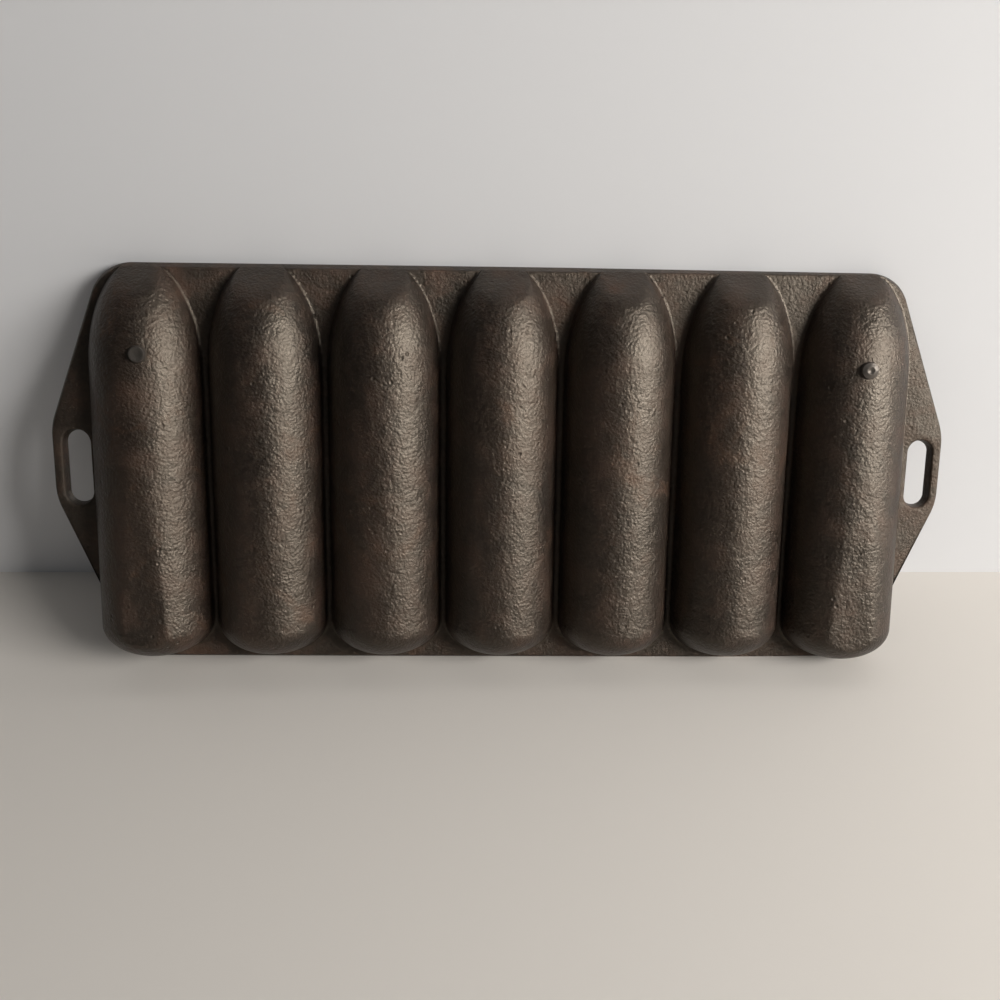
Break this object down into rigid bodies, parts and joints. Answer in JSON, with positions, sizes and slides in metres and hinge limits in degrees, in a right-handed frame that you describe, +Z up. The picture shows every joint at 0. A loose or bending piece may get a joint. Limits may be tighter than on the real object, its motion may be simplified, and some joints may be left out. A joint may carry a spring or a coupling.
{
  "type": "corn stick pan",
  "caption": "Cast iron corn stick pan: ear-shaped cavities with kernel relief in a flat web, round-backed cups below, and a slotted hanging lug at each end.",
  "frame": {"origin": "on the resting plane, below the middle of the pan", "axes": "+X along the pan to the right-hand handle, +Y from the sticks' pointed tips to their blunt ends, +Z up, out of the cavities"},
  "size_m": [0.337, 0.1506, 0.024],
  "materials": {
    "iron_web": "seasoned cast iron with a grainy, slightly reddish skin",
    "iron_cups": "seasoned cast iron, fine pebbled casting skin with a satin sheen",
    "iron_worn": "cast iron worn bright by standing on it"
  },
  "bodies": {
    "root": {"web_plate": "iron_web", "mould_cup_1": "iron_cups", "mould_cup_2": "iron_cups", "mould_cup_3": "iron_cups", "mould_cup_4": "iron_cups", "mould_cup_5": "iron_cups", "mould_cup_6": "iron_cups", "mould_cup_7": "iron_cups", "handle_left": "iron_web", "handle_right": "iron_web", "peg_foot_left": "iron_worn", "peg_foot_right": "iron_worn"}
  },
  "joints": []
}
